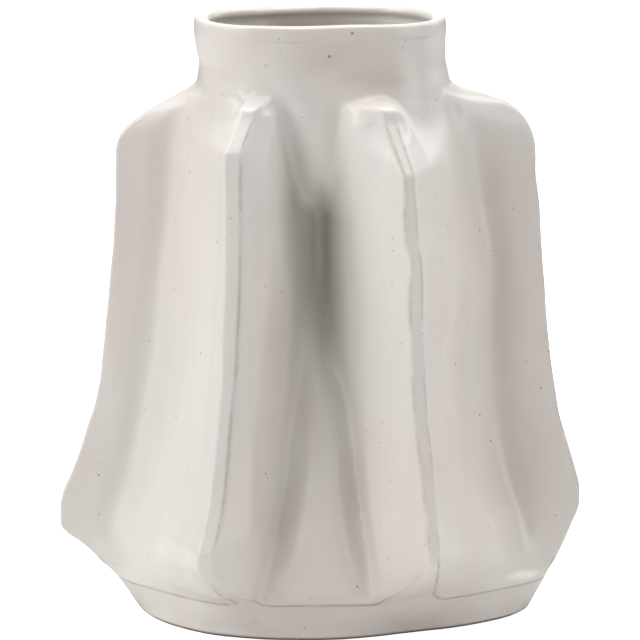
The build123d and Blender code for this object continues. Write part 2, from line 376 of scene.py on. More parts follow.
class Profile:
    """Smooth lines through the columns of a table, by its first column."""

    def __init__(self, rows):
        self.places = [row[0] for row in rows]
        self.columns = list(zip(*rows))[1:]
        self.slopes = [steady_slopes(self.places, column) for column in self.columns]

    def at(self, place):
        """All columns at one place."""
        low = min(len(self.places) - 2, max(0, bisect_right(self.places, place) - 1))
        span = self.places[low + 1] - self.places[low]
        start, end, leave, arrive = hermite(min(1.0, max(0.0, (place - self.places[low]) / span)), span)
        return [
            start * column[low] + end * column[low + 1] + leave * slopes[low] + arrive * slopes[low + 1]
            for column, slopes in zip(self.columns, self.slopes)
        ]


PROFILES = {}


def profile(name, rows):
    """The profile of a table, worked out once."""
    if name not in PROFILES:
        PROFILES[name] = Profile(rows)
    return PROFILES[name]


class VaseSizes(bpy.types.PropertyGroup):
    """Sizes of the clay that a potter would change"""

    wall: bpy.props.FloatProperty(
        name="Wall", description="Thickness of the slabs", default=0.006, min=0.003, max=0.012, unit="LENGTH")
    arris: bpy.props.FloatProperty(
        name="Arris", description="How far the glaze rounds the cut edges", default=0.0011, min=0.0005,
        max=0.005, unit="LENGTH")
    waves: bpy.props.FloatProperty(
        name="Waves", description="Height of the waves that hand work leaves", default=0.0008, min=0.0,
        max=0.003, unit="LENGTH")
    spacing: bpy.props.FloatProperty(
        name="Spacing", description="Distance between the points of the slabs", default=0.0016, min=0.001,
        max=0.01, unit="LENGTH")


class GlazeLook(bpy.types.PropertyGroup):
    """Colours and gloss of the glaze and the bare clay"""

    cream: bpy.props.FloatVectorProperty(
        name="Cream", description="Glaze where it lies thick", default=(0.745, 0.714, 0.680), size=3,
        subtype="COLOR")
    rose: bpy.props.FloatVectorProperty(
        name="Rose", description="Glaze where the clay shows through", default=(0.665, 0.590, 0.562), size=3,
        subtype="COLOR")
    sage: bpy.props.FloatVectorProperty(
        name="Sage", description="Cooler, greyer glaze", default=(0.670, 0.655, 0.636), size=3,
        subtype="COLOR")
    # Painted shade: the grey laid into the deep hollows and beside the fins, where shadow falls.
    pool: bpy.props.FloatVectorProperty(
        name="Pool", description="Grey glaze that ran together in the hollows", default=(0.480, 0.462, 0.432),
        size=3, subtype="COLOR")
    edge: bpy.props.FloatVectorProperty(
        name="Edge", description="Glaze that broke thin on the cut edges", default=(0.3, 0.235, 0.175),
        size=3, subtype="COLOR")
    iron: bpy.props.FloatVectorProperty(
        name="Iron", description="Specks of iron in the glaze", default=(0.1, 0.078, 0.06), size=3,
        subtype="COLOR")
    clay: bpy.props.FloatVectorProperty(
        name="Clay", description="Bare fired clay under the foot", default=(0.15, 0.105, 0.075), size=3,
        subtype="COLOR")
    roughness: bpy.props.FloatProperty(
        name="Roughness", description="Roughness of the glaze", default=0.34, min=0.05, max=1.0,
        subtype="FACTOR")


class StudioLook(bpy.types.PropertyGroup):
    """Camera of the photograph"""

    distance: bpy.props.FloatProperty(
        name="Distance", description="From the axis to the camera, along the floor", default=2.535, min=0.5,
        max=10, unit="LENGTH")
    elevation: bpy.props.FloatProperty(
        name="Elevation", description="How far the camera looks down", default=radians(10.9), min=0, max=1.2,
        subtype="ANGLE")
    aim: bpy.props.FloatProperty(
        name="Aim", description="Height that the camera looks at", default=0.1466, min=0, max=1,
        unit="LENGTH")
    frame_width: bpy.props.FloatProperty(
        name="Frame", description="Width that the picture covers at the vase", default=0.3185, min=0.1, max=2,
        unit="LENGTH")


def smooth(low, high, value):
    """Soft step from 0 at low to 1 at high."""
    share = min(1.0, max(0.0, (value - low) / (high - low)))
    return share * share * (3 - 2 * share)


def ahead(turn, reach):
    """Point at a reach from the axis, turned in degrees from the front to the right."""
    return Vector((reach * sin(radians(turn)), -reach * cos(radians(turn))))


def turn_of(point):
    """Turn of a point from the front, in degrees."""
    return atan2(point.x, -point.y) * 180 / pi


def inward(step):
    """Direction to the inside, square to a step that goes round with the turn."""
    return Vector((-step.y, step.x)).normalized()


def neck_reach(turn, height, inset=0.0):
    """Reach of the neck's outside at a height, less an inset."""
    half_width, half_depth, shift, power = profile("neck", NECK_OVAL).at(height / MM)
    half_width, half_depth = half_width * MM - inset, half_depth * MM - inset
    across = abs(sin(radians(turn - NECK_TURN))) / half_width
    along_depth = abs(cos(radians(turn - NECK_TURN))) / half_depth
    reach = (across**power + along_depth**power) ** (-1 / power) + shift * MM * sin(radians(turn))
    return reach - sum(cut * MM * exp(-(((turn - middle) / width) ** 2)) for middle, width, cut in NECK_CUTS)


def foot_outline(name, rows, turn):
    """Reach of an outline of the foot from the axis."""
    return profile(name, rows).at((turn + 180) % 360 - 180)[0] * MM


def foot_reach(turn, inset=0.0):
    """Reach of the foot's outline on the table, less an inset."""
    return foot_outline("foot rim", FOOT_RIM, turn) - inset


def foot_side(turn, height):
    """Reach of the foot's outside, which flares from the table to the seam and a little past it."""
    rim = foot_reach(turn)
    top = foot_outline("foot top", FOOT_TOP, turn)
    return rim + (top - rim) * min(FLARE_END, height / SEAM)


def glaze_thinness_and_shade(point, height):
    """How thin the glaze lies at a point; below zero it is painted shade, a darker grey where shadow falls.
    """
    side = 1 if point.y < 0 else -1
    thin = 0.0
    for across, middle, half_width, half_height, share in THIN_AND_SHADED_PLACES:
        aside = (point.x * side / MM - across) / half_width
        up = (height / MM - middle) / half_height
        if abs(aside) < THIN_END and abs(up) < THIN_END:
            thin += share * exp(-aside * aside - up * up)
    return min(1.0, thin)


def dabbed(point, height):
    """How far the dabs move a point out."""
    side = 1 if point.y < 0 else -1
    moved = 0.0
    for across, middle, half_width, half_height, lean, depth in DABS:
        up = height / MM - middle
        aside = (point.x * side / MM - across - lean * up) / half_width
        up /= half_height
        if abs(aside) < DAB_END and abs(up) < DAB_END:
            moved += depth * MM * exp(-aside * aside - up * up)
    return moved


def hand_waves(point, height, size):
    """Waves that hands and tools leave in the clay."""
    place = Vector((point.x, point.y, height))
    wave = 0.0
    for strength, fineness, fineness_up, start_x, start_y in HAND_WAVES:
        spot = Vector((place.x * fineness + start_x, place.y * fineness + start_y, place.z * fineness_up))
        wave += strength * noise.noise(spot)
    return size * wave


def round_noise(turn, fineness, start):
    """Noise that closes once round the vase."""
    place = ahead(turn, 1)
    return noise.noise(Vector((place.x * fineness, place.y * fineness, start)))


def stretch(start, end, shares, sag):
    """Points between two others, sagging to the inside."""
    step = end - start
    return [start + step * share + inward(step) * (sag * 4 * share * (1 - share)) for share in shares]


def fin_edges(place, height):
    """Tip of a fin, between the two edges of its strip, at a height."""
    place %= len(FINS)
    turn, facing, reach, strip = FINS[place]
    tip = ahead(turn, profile(("fin", place), reach).at(height / MM)[0] * MM)
    before = profile(("before", place), strip[0]).at(height / MM)[0] * MM
    after = profile(("after", place), strip[1]).at(height / MM)[0] * MM
    return tip - ahead(facing + 90, before), tip, tip + ahead(facing + 90, after)


def calm_edge(place, side, height):
    """An edge of a fin's strip without its dents: averaged over a little height below the shoulder."""
    off = EDGE_BLUR * (1 - smooth(*SHOULDER, height))
    return (fin_edges(place, height - off)[side] + fin_edges(place, height + off)[side]) * 0.5


def broad_keys(number, height, start, end):
    """Points that the outside of the front or the back slab runs through at a height."""
    side = 1 if number == 0 else -1
    row = [value * MM * side for value in profile("broad", BROAD_FOLDS).at(height / MM)]
    folds = [Vector((row[place], -row[place + 1])) for place in range(0, len(row), 2)]
    knee, valley, swell, other_valley, other_knee = folds
    calm_start, calm_end = calm_edge(number, 2, height), calm_edge(number + 1, 0, height)
    more, *heights = FOOT_FLANK
    flank = FLANK + more * (1 - smooth(*heights, height))
    less, *heights = HOLLOW_FLANK
    flank -= less * smooth(*heights, height)
    share, *heights = FLANK_RISE
    rise = (swell * 2 - valley - other_valley) * (share * (1 - smooth(*heights, height)))
    return [
        start, calm_start.lerp(knee, 0.3), calm_start.lerp(knee, 0.6), calm_start.lerp(knee, 0.93),
        knee.lerp(valley, 0.09), knee.lerp(valley, 0.6), valley, swell.lerp(valley, flank) + rise,
        swell.lerp(other_valley, flank) + rise, other_valley, other_valley.lerp(other_knee, 0.5),
        other_knee.lerp(other_valley, 0.1), other_knee.lerp(calm_end, 0.1), other_knee.lerp(calm_end, 0.5),
        other_knee.lerp(calm_end, 0.75), end,
    ]


def side_keys(number, height, start, end):
    """Points that the outside of a slab beside a side fin runs through at a height."""
    starts_here = number % 3 == FROM_SIDE
    name, rows = ("left crease", LEFT_CREASE) if starts_here else ("right crease", RIGHT_CREASE)
    along_fin, out, sag = [value * MM for value in profile(name, rows).at(height / MM)]
    side = 90 if number in (1, 2) else 270
    crease = ahead(side, along_fin) + ahead(side + (90 if starts_here else -90), out)
    if starts_here:
        return [
            start, start.lerp(crease, 0.45), start.lerp(crease, 0.92),
            *stretch(crease, end, (0.07, 0.4, 0.7), sag), end,
        ]
    out = SIDE_SWELL * smooth(*SIDE_SWELL_COMES, height) * (1 - smooth(*SIDE_SWELL_GOES, height))
    swell = inward(end - crease) * out
    return [
        start, *stretch(start, crease, (0.3, 0.6, 0.93), sag), crease.lerp(end, 0.1),
        crease.lerp(end, 0.42) - swell, crease.lerp(end, 0.72) - swell * 0.5, end,
    ]


def slab_keys(number, height):
    """Tips of the two fins and the points that a slab's outside runs through at a height."""
    first_tip, start = fin_edges(number, height)[1:]
    end, last_tip = fin_edges(number + 1, height)[:2]
    keys = broad_keys if number % 3 == BROAD else side_keys
    return first_tip, keys(number, height, start, end), last_tip


def curve_through(keys, count):
    """Fine smooth line through key points."""
    times = [0.0]
    for before, after in zip(keys, keys[1:]):
        times.append(times[-1] + (after - before).length)
    slopes = [(keys[1] - keys[0]) / times[1]]
    for place in range(1, len(keys) - 1):
        early = (keys[place] - keys[place - 1]) / (times[place] - times[place - 1])
        late = (keys[place + 1] - keys[place]) / (times[place + 1] - times[place])
        share = (times[place] - times[place - 1]) / (times[place + 1] - times[place - 1])
        slopes.append(early.lerp(late, share))
    slopes.append((keys[-1] - keys[-2]) / (times[-1] - times[-2]))
    points = []
    for step in range(count):
        time = times[-1] * step / (count - 1)
        place = min(len(keys) - 2, bisect_right(times, time) - 1)
        span = times[place + 1] - times[place]
        start, end, leave, arrive = hermite((time - times[place]) / span, span)
        points.append(
            keys[place] * start + slopes[place] * leave + keys[place + 1] * end + slopes[place + 1] * arrive
        )
    return points


def along(points, lengths, distance):
    """Point of a fine line at a distance from its start."""
    place = min(len(points) - 2, max(0, bisect_right(lengths, distance) - 1))
    span = lengths[place + 1] - lengths[place]
    return points[place].lerp(points[place + 1], (distance - lengths[place]) / span)


def rounded(before, corner, after):
    """Points round a corner, from the one before it to the one after it."""
    shares = [step / (CORNER_STEPS - 1) for step in range(CORNER_STEPS)]
    return [before.lerp(corner, share).lerp(corner.lerp(after, share), share) for share in shares]


def half_strip(tip, edge, radius):
    """Points on the flat half of a strip, from the tip of its fin to where the arris starts."""
    start = edge.lerp(tip, min(ROUNDED_SHARE, radius / (tip - edge).length))
    return [tip.lerp(start, step / STRIP_STEPS) for step in range(STRIP_STEPS)], start


def outside_line(number, height, count, radius):
    """Outside of a slab at a height from fin tip to fin tip, as points with their way along its open part."""
    first_tip, keys, last_tip = slab_keys(number, height)
    dense = curve_through(keys, DENSE_POINTS)
    lengths = [0.0]
    for before, after in zip(dense, dense[1:]):
        lengths.append(lengths[-1] + (after - before).length)
    total = lengths[-1]
    strip, on_strip = half_strip(first_tip, keys[0], radius)
    points = strip + rounded(on_strip, keys[0], along(dense, lengths, radius))
    line = [(point, 0.0) for point in points]
    for step in range(1, count):
        distance = radius + (total - 2 * radius) * step / count
        line.append((along(dense, lengths, distance), distance))
    strip, on_strip = half_strip(last_tip, keys[-1], radius)
    points = rounded(along(dense, lengths, total - radius), keys[-1], on_strip) + strip[::-1]
    line += [(point, total) for point in points]
    return line, total


def past_slab(number, start_distance, end_distance, height):
    """How far a point lies outside the rounded lower outline of its slab; negative inside it."""
    up = height - SEAM - OUTLINE_LIFT
    under_tongue = TONGUE_TOP - height
    past = -up
    for distance, corner in zip((start_distance, end_distance), CORNERS[number % 3]):
        across, rise, tongue = corner
        distance -= tongue * max(0.0, under_tongue)
        if tongue:
            past = max(past, min(-distance, under_tongue * TONGUE_SLOPE))
        if distance < across and up < rise:
            reach = hypot((across - distance) / across, (rise - up) / rise)
            past = max(past, (reach - 1) * min(across, rise))
    return past


def neck_sweep(number, share, height):
    """How far the slab has turned into the neck: late at the fins, early in the open part between them."""
    start = NECK_STARTS
    if number % 3 != BROAD:
        share = share if number % 3 == FROM_SIDE else 1 - share
        start -= EARLY_NECK * smooth(*EARLY_COMES, share) * (1 - smooth(*EARLY_GOES, share))
    return smooth(start, NECK_DONE, height)


def led_over(reach, number, share, turn, height, inset=0.0):
    """Reach of a sheet of a slab, led over into the neck at its top and into the foot at its bottom."""
    neck_share = neck_sweep(number, share, height)
    if neck_share > 0:
        reach += (neck_reach(turn, height, inset) - reach) * neck_share
    foot_share = 1 - smooth(SEAM, SEAM + FOOT_BLEND, height)
    if foot_share > 0:
        reach += (foot_side(turn, height) - inset - reach) * foot_share
    return reach


def arris_mark(number, from_arris, height):
    """How far the glaze has broken on an arris, by the number of points from it."""
    share = FAINT_SHARE if number % 3 == FROM_SIDE else 1
    broken = exp(-(from_arris / BROKEN_SPREAD) ** 2)
    return broken * (1 - smooth(*BROKEN_GOES, height)) * smooth(*BROKEN_COMES, height) * share


def seam_mark(number, past, from_arris, from_edge):
    """Way past the seam over SEAM_ZERO, in millimetres, pushed away from it where no seam shows."""
    shown = smooth(*SEAM_FROM_ARRIS, from_arris)
    if number % 3 == BROAD:
        shown *= smooth(*SEAM_FROM_EDGE, from_edge)
    aside = past / MM - SEAM_PAST
    return max(0.0, SEAM_ZERO + aside + copysign(SEAM_HIDDEN * (1 - shown), aside))


def laid_outside(number, height, count, sizes):
    """Outside points of a slab at a height, with the marks of the arris, the seam and the bare clay."""
    wider = WIDE_ARRIS * (1 - smooth(SEAM + WIDE_ARRIS_TOP, TONGUE_TOP, height))
    line, total = outside_line(number, max(height, SEAM), count, sizes.arris * (1 + wider))
    calm = CALM_FOOT + (1 - CALM_FOOT) * smooth(0.0, CALM_TOP, height)
    bare = 1 - smooth(*BARE_EDGE, height)
    laid = []
    for place, (point, distance) in enumerate(line):
        turn = turn_of(point)
        reach = led_over(point.length, number, distance / total, turn, height)
        past = past_slab(number, distance, total - distance, height)
        step = STEP * smooth(*STEP_PAST, past) * smooth(*STEP_UP, height) * smooth(*STEP_ASIDE, abs(point.y))
        reach += hand_waves(point, height, sizes.waves) * calm - step
        reach += dabbed(point, height)
        from_arris = min(place, len(line) - 1 - place) - STRIP_STEPS - (CORNER_STEPS - 1) / 2
        broken = arris_mark(number, from_arris, height)
        if number % 3 == BROAD:
            reach -= GROOVE * exp(-((from_arris - GROOVE_PLACE) / GROOVE_SPREAD) ** 2) * broken
        seam = seam_mark(number, past, from_arris, min(distance, total - distance))
        laid.append((ahead(turn, reach), broken, seam, bare))
    return laid


def unmarked(point):
    """A point with its marks at nothing."""
    return point, 0.0, 0.0, 0.0


def laid_inside(number, height, count, sizes):
    """Inside points of a slab at a height, as many as outside, from fin to fin."""
    first_tip, keys, last_tip = slab_keys(number, height)
    sides = ahead(FINS[number][0] + 90, 1), ahead(FINS[(number + 1) % len(FINS)][0] - 90, 1)
    inner = [first_tip * (1 - FIN_DEPTH / first_tip.length)]
    for before, point, after in zip(keys, keys[1:], keys[2:]):
        within = point + inward(after - before) * sizes.wall
        for side in sides:
            within += side * max(0.0, HALF_GAP - within.dot(side))
        inner.append(within)
    inner.append(last_tip * (1 - FIN_DEPTH / last_tip.length))
    laid = []
    for place, point in enumerate(curve_through(inner, count)):
        turn = turn_of(point)
        reach = led_over(point.length, number, place / (count - 1), turn, height, sizes.wall)
        laid.append(unmarked(ahead(turn, reach)))
    return laid


def fresh(kind, **values):
    """Adds a primitive with nothing else selected and returns its object."""
    if bpy.context.mode != "OBJECT":
        bpy.ops.object.mode_set(mode="OBJECT")
    bpy.ops.object.select_all(action="DESELECT")
    getattr(bpy.ops.mesh, "primitive_" + kind + "_add")(**values)
    return bpy.context.active_object


def keep_marks(mesh, name, values):
    """Keeps a value for each point of a mesh."""
    marks = mesh.attributes.new(name, "FLOAT", "POINT")
    marks.data.foreach_set("value", values)


def lay(piece, laid):
    """Moves a primitive's points to where the clay lies, and keeps the marks of each point."""
    mesh = piece.data
    if len(mesh.vertices) != len(laid):
        raise RuntimeError(piece.name + " has " + str(len(mesh.vertices)) + " points, not " + str(len(laid)))
    for vertex, mark in zip(mesh.vertices, laid):
        vertex.co = mark[0]
    for column, name in enumerate(("arris", "seam", "bare"), 1):
        keep_marks(mesh, name, [mark[column] for mark in laid])
    # This mark is thin glaze above zero and painted shade below it.
    keep_marks(mesh, "rosy", [glaze_thinness_and_shade(mark[0], mark[0].z) for mark in laid])
    mesh.update()


def level(laid, height):
    """Lifts flat points with marks to a height."""
    return [(Vector((point.x, point.y, height)), *marks) for point, *marks in laid]


def slab_heights(spacing):
    """Heights of a slab's rows, closer together at the seam and the shoulder."""
    heights = [SEAM]
    while heights[-1] < COLLAR - LAST_ROW:
        fine = heights[-1] < FINE_BELOW or heights[-1] > FINE_ABOVE
        heights.append(heights[-1] + (spacing * FINE_SHARE if fine else spacing))
    heights[-1] = COLLAR
    return heights


def column_count(number, spacing):
    """Steps across the open part of a slab."""
    return int((BROAD_WIDTH if number % 3 == BROAD else SIDE_WIDTH) / spacing)


def in_edit_mode(*steps):
    """Runs steps on all of the active mesh in edit mode."""
    bpy.ops.object.mode_set(mode="EDIT")
    bpy.ops.mesh.select_all(action="SELECT")
    for step in steps:
        step()
    bpy.ops.object.mode_set(mode="OBJECT")


def face_outwards():
    """Turns all selected faces outwards."""
    bpy.ops.mesh.normals_make_consistent(inside=False)


def bridge_rims():
    """Bridges the open rims of the outer and the inner sheet."""
    bpy.ops.mesh.select_mode(type="EDGE")
    bpy.ops.mesh.select_all(action="DESELECT")
    bpy.ops.mesh.select_non_manifold(
        extend=False, use_wire=False, use_multi_face=False, use_non_contiguous=False, use_verts=False)
    bpy.ops.mesh.bridge_edge_loops()
    bpy.ops.mesh.select_all(action="SELECT")


def finish_clay(piece, node):
    """Shades a finished piece and ties it to the solid model."""
    bpy.ops.object.select_all(action="DESELECT")
    piece.select_set(True)
    bpy.context.view_layer.objects.active = piece
    bpy.ops.object.shade_smooth_by_angle(angle=SMOOTH_BELOW)
    piece.data.materials.clear()
    piece.data.materials.append(glaze_material(bpy.context.scene.glaze_look))
    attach(piece, "root")
    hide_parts(node)


def make_slab(number, sizes):
    """One slab of the body: an outer and an inner sheet, laid on the form and bridged round their rims."""
    count = column_count(number, sizes.spacing)
    heights = slab_heights(sizes.spacing)
    outer_rows = [level(laid_outside(number, height, count, sizes), height) for height in heights]
    columns = len(outer_rows[0])
    inner_rows = [level(laid_inside(number, height, columns, sizes), height) for height in heights]
    sheets = []
    for rows in (outer_rows, inner_rows):
        sheet = fresh("grid", x_subdivisions=columns - 1, y_subdivisions=len(heights) - 1, size=0.1)
        lay(sheet, [mark for row in rows for mark in row])
        sheets.append(sheet)
    outer, inner = sheets
    in_edit_mode(bpy.ops.mesh.flip_normals)
    bpy.ops.object.select_all(action="DESELECT")
    outer.select_set(True)
    inner.select_set(True)
    bpy.context.view_layer.objects.active = outer
    bpy.ops.object.join()
    outer.name = SLABS[number] + "_slab"
    in_edit_mode(bridge_rims, face_outwards)
    finish_clay(outer, SLABS[number] + "_panel")


def whole_round(height, sizes):
    """Points with marks once round the vase at a height, on the outside of the six slabs."""
    points = []
    for number in range(len(SLABS)):
        points += laid_outside(number, height, column_count(number, sizes.spacing), sizes)[:-1]
    return points


def make_ring(name, loops, node):
    """A closed ring of clay from profile loops that all start at the same corner of the profile."""
    rows = [loop + loop[:1] for loop in loops + loops[:1]]
    ring = fresh("grid", x_subdivisions=len(rows[0]) - 1, y_subdivisions=len(rows) - 1, size=0.1)
    ring.name = name
    lay(ring, [mark for row in rows for mark in row])
    in_edit_mode(lambda: bpy.ops.mesh.remove_doubles(threshold=WELD), face_outwards)
    finish_clay(ring, node)


class VASE_OT_broad_slabs(bpy.types.Operator):
    """Builds the front and the back slab"""

    bl_idname = "vase.broad_slabs"
    bl_label = "Broad slabs"

    def execute(self, context):
        for number in (0, 3):
            make_slab(number, context.scene.vase_sizes)
        return {"FINISHED"}


class VASE_OT_side_slabs(bpy.types.Operator):
    """Builds the four slabs beside the side fins"""

    bl_idname = "vase.side_slabs"
    bl_label = "Side slabs"

    def execute(self, context):
        for number in (1, 2, 4, 5):
            make_slab(number, context.scene.vase_sizes)
        return {"FINISHED"}


class VASE_OT_foot(bpy.types.Operator):
    """Builds the foot band and the floor slab"""

    bl_idname = "vase.foot"
    bl_label = "Foot"

    def execute(self, context):
        sizes = context.scene.vase_sizes
        turns = [turn_of(mark[0]) for mark in whole_round(SEAM, sizes)]
        loops = []
        for height, tuck in FOOT_TUCKS:
            points = [mark[0] for mark in whole_round(max(height, FOOT_START), sizes)]
            tucked = [(ahead(turn_of(point), point.length - tuck), 0.0, 0.0, 1.0) for point in points]
            loops.append(level(tucked, height))
        start = FOOT_TUCKS[-1][0]
        for step in range(1, FOOT_ROWS + 1):
            height = start + (SEAM - start) * step / FOOT_ROWS
            loops.append(level(whole_round(height, sizes), height))
        inside = [unmarked(ahead(turn, foot_reach(turn, sizes.wall))) for turn in turns]
        for height in (SEAM, SEAM * 0.75, FLOOR, FLOOR / 2, UNDERSIDE, 0.0):
            loops.append(level(inside, height))
        make_ring("foot_ring", loops, "foot_band")
        self.floor(context)
        return {"FINISHED"}

    def floor(self, context):
        """The floor slab: a disc laid on the foot's oval, glazed above and bare below."""
        scene = context.scene
        piece = fresh(
            "cylinder", vertices=FLOOR_POINTS, radius=0.06, depth=FLOOR, location=(0, 0, FLOOR / 2),
            end_fill_type="TRIFAN")
        bpy.ops.object.transform_apply(location=True, rotation=True, scale=True)
        for vertex in piece.data.vertices:
            flat = vertex.co.to_2d()
            if flat.length > 0.001:
                turn = turn_of(flat)
                vertex.co.x, vertex.co.y = ahead(turn, foot_reach(turn, scene.vase_sizes.wall))
        in_edit_mode(face_outwards)
        piece.name = "floor_slab"
        finish_clay(piece, "base_slab")
        piece.data.materials.append(clay_material(scene.glaze_look))
        for face in piece.data.polygons:
            face.material_index = 0 if face.normal.z > 0.5 else 1


class VASE_OT_neck(bpy.types.Operator):
    """Builds the collar on top of the slabs"""

    bl_idname = "vase.neck"
    bl_label = "Neck"

    def execute(self, context):
        sizes = context.scene.vase_sizes
        loops = []
        for step in range(COLLAR_ROWS + 1):
            height = COLLAR + (LIP - COLLAR) * step / COLLAR_ROWS
            loops.append(level(whole_round(height, sizes), height))
        turns = [turn_of(mark[0]) for mark in loops[0]]
        for step in range(COLLAR_INSIDE_ROWS + 1):
            height = LIP + (COLLAR - LIP) * step / COLLAR_INSIDE_ROWS
            inside = [unmarked(ahead(turn, neck_reach(turn, height, sizes.wall))) for turn in turns]
            loops.append(level(inside, height))
        make_ring("collar", loops, "neck_collar")
        return {"FINISHED"}


class VASE_OT_lip(bpy.types.Operator):
    """Builds the rounded lip of the mouth"""

    bl_idname = "vase.lip"
    bl_label = "Lip"

    def execute(self, context):
        sizes = context.scene.vase_sizes
        turns = [turn_of(mark[0]) for mark in whole_round(LIP, sizes)]
        top = RIM - LIP_ROOM
        insets_and_heights = [
            (0.0, LIP), (-0.0001, LIP + 0.002), (-0.0001, LIP + 0.004), (0.0, top - 0.0026),
            (0.0001, top - 0.0016), (0.0003, top - 0.0009), (0.0008, top - 0.0003), (0.0015, top),
            (0.0028, top + 0.0002), (0.0042, top + 0.0001), (0.0054, top - 0.0003), (0.0063, top - 0.001),
            (0.0069, top - 0.002), (0.0071, top - 0.0032), (0.0069, top - 0.0042), (0.0064, top - 0.0049),
            (0.0061, top - 0.0056), (0.006, LIP + 0.001), (0.006, LIP),
        ]
        loops = []
        for inset, height in insets_and_heights:
            loop = []
            for turn in turns:
                sway = round_noise(turn, *SWAY_NOISE) * LIP_SWAY
                thick = 1 + LIP_CHANGE * round_noise(turn, *CHANGE_NOISE)
                reach = neck_reach(turn, min(height, RIM)) - inset * thick
                reach += hand_waves(ahead(turn, neck_reach(turn, LIP)), LIP, sizes.waves)
                lift = smooth(LIP, RIM, height) * (sway - LIP_ROOM)
                loop += level([unmarked(ahead(turn, reach))], height + lift)
            loops.append(loop)
        make_ring("mouth_lip", loops, "rim_lip")
        return {"FINISHED"}


# Noise in the glaze and the clay: fineness, detail and roughness, and how it is stretched.
CLOUDS = (10.0, 1.0, 0.35, (1, 1, 0.6))
WARMTH = (15.0, 1.0, 0.35, (1.3, 1.3, 0.55))
STREAKS = (75.0, 1.0, 0.4, (1, 1, 0.07))
RUNS = (85.0, 3.0, 0.6, (1, 1, 0.5))
CRUMBS = (420.0, 2.0, 0.6)
SATIN = (38.0, 3.0, 0.5)
PEEL = (260.0, 2.0, 0.5)
BRUSHED = (170.0, 3.0, 0.55, (1, 1, 0.12))
GRAIN = (900.0, 3.0, 0.6)

# Distance from the seam's line, in millimetres, at which the line is full and at which it ends.
LINE_WIDTH = (0.2, 1.0)
# How far the glaze breaks on the arrises and along the seams at most.
ARRIS_BREAK = 0.5
SEAM_BREAK = 0.52
# How much rougher or smoother than its mean the glaze gets, and the roughness of the bare foot.
SATIN_CHANGE = 0.05
BARE_ROUGHNESS = 0.85
# Clear coat of the glaze: weight and roughness.
COAT = 0.3
COAT_ROUGHNESS = 0.16
# Large and small iron specks: how many to a metre, size and share of the places that hold one.
SPECKS = ((97.0, 0.085, 0.85), (180.0, 0.11, 0.5))
# Small relief of the glaze and of the bare clay: strength and depth in metres.
GLAZE_RELIEF = (0.22, 0.0009)
CLAY_RELIEF = (0.35, 0.0004)
# How much paler than the clay its sandy grains are.
GRAIN_PALER = 1.7
# Colours of the floor's faint mottle, and how strongly the floor glows for the camera alone.
FLOOR_COLOURS = ((0.80, 0.80, 0.79, 1), (0.82, 0.82, 0.81, 1))
FLOOR_GLOW = 0.9


def new_group(name, inputs, outputs):
    """A shader group with named inputs and outputs, and its two end nodes."""
    group = bpy.data.node_groups.new(name, "ShaderNodeTree")
    for label, kind, value in inputs:
        socket = group.interface.new_socket(label, in_out="INPUT", socket_type="NodeSocket" + kind)
        if value is not None:
            socket.default_value = value
    for label, kind in outputs:
        group.interface.new_socket(label, in_out="OUTPUT", socket_type="NodeSocket" + kind)
    return group, group.nodes.new("NodeGroupInput").outputs, group.nodes.new("NodeGroupOutput").inputs


def add_node(tree, kind, **values):
    """A shader node with its settings and unlinked input values."""
    node = tree.nodes.new("ShaderNode" + kind)
    for name, value in values.items():
        if name.startswith("in_"):
            key = name[3:]
            node.inputs[int(key) if key.isdigit() else key.replace("_", " ")].default_value = value
        else:
            setattr(node, name, value)
    return node


def feed(tree, socket, value):
    """Links an input to a socket, or sets it to a value."""
    if isinstance(value, bpy.types.NodeSocket):
        tree.links.new(value, socket)
    else:
        socket.default_value = value


def colour_mix(tree, factor, first, second):
    """Mix of two colours; each may be a socket or a value."""
    node = add_node(tree, "Mix", data_type="RGBA")
    # The Mix node keeps a row of sockets for each kind of value; these are the factor and the two colours.
    for place, value in ((0, factor), (6, first), (7, second)):
        feed(tree, node.inputs[place], value)
    return node.outputs[2]


def ranged(tree, value, low, high, to_low=0.0, to_high=1.0):
    """A value mapped softly from one range to another, held at its ends."""
    node = add_node(
        tree, "MapRange", interpolation_type="SMOOTHSTEP", in_1=low, in_2=high, in_3=to_low, in_4=to_high)
    tree.links.new(value, node.inputs[0])
    return node.outputs[0]


def worked(tree, operation, first, second):
    """Two values worked into one; each may be a socket or a number."""
    node = add_node(tree, "Math", operation=operation)
    for place, value in enumerate((first, second)):
        feed(tree, node.inputs[place], value)
    return node.outputs[0]


def noise_field(tree, place, scale, detail=2.0, rough=0.5, stretch_by=(1, 1, 1)):
    """Noise over Object coordinates, stretched along the axes."""
    mapping = add_node(tree, "Mapping", in_Scale=stretch_by)
    tree.links.new(place, mapping.inputs["Vector"])
    node = add_node(tree, "TexNoise", in_Scale=scale, in_Detail=detail, in_Roughness=rough)
    tree.links.new(mapping.outputs[0], node.inputs["Vector"])
    return node.outputs[0]


def specks_group():
    """Iron specks: round dots of uneven size, far apart, with a soft rim."""
    group, start, end = new_group(
        "Iron Specks",
        (("Place", "Vector", None), ("Scale", "Float", 120.0), ("Size", "Float", 0.08),
         ("Share", "Float", 0.2)),
        (("Specks", "Float"),))
    cells = add_node(group, "TexVoronoi", feature="F1", in_Randomness=1.0)
    group.links.new(start["Place"], cells.inputs["Vector"])
    group.links.new(start["Scale"], cells.inputs["Scale"])
    split = add_node(group, "SeparateColor")
    group.links.new(cells.outputs["Color"], split.inputs[0])
    chosen = worked(group, "LESS_THAN", split.outputs[0], start["Share"])
    spread = worked(group, "MULTIPLY", ranged(group, split.outputs[1], 0.0, 1.0, 0.35, 1.0), start["Size"])
    inside = worked(group, "SUBTRACT", spread, cells.outputs["Distance"])
    soft = worked(group, "DIVIDE", inside, worked(group, "MULTIPLY", spread, 0.35))
    clamp = add_node(group, "Clamp")
    group.links.new(soft, clamp.inputs[0])
    strength = ranged(group, split.outputs[2], 0.0, 1.0, 0.35, 1.0)
    depth = worked(group, "MULTIPLY", clamp.outputs[0], strength)
    group.links.new(worked(group, "MULTIPLY", depth, chosen), end["Specks"])
    return group


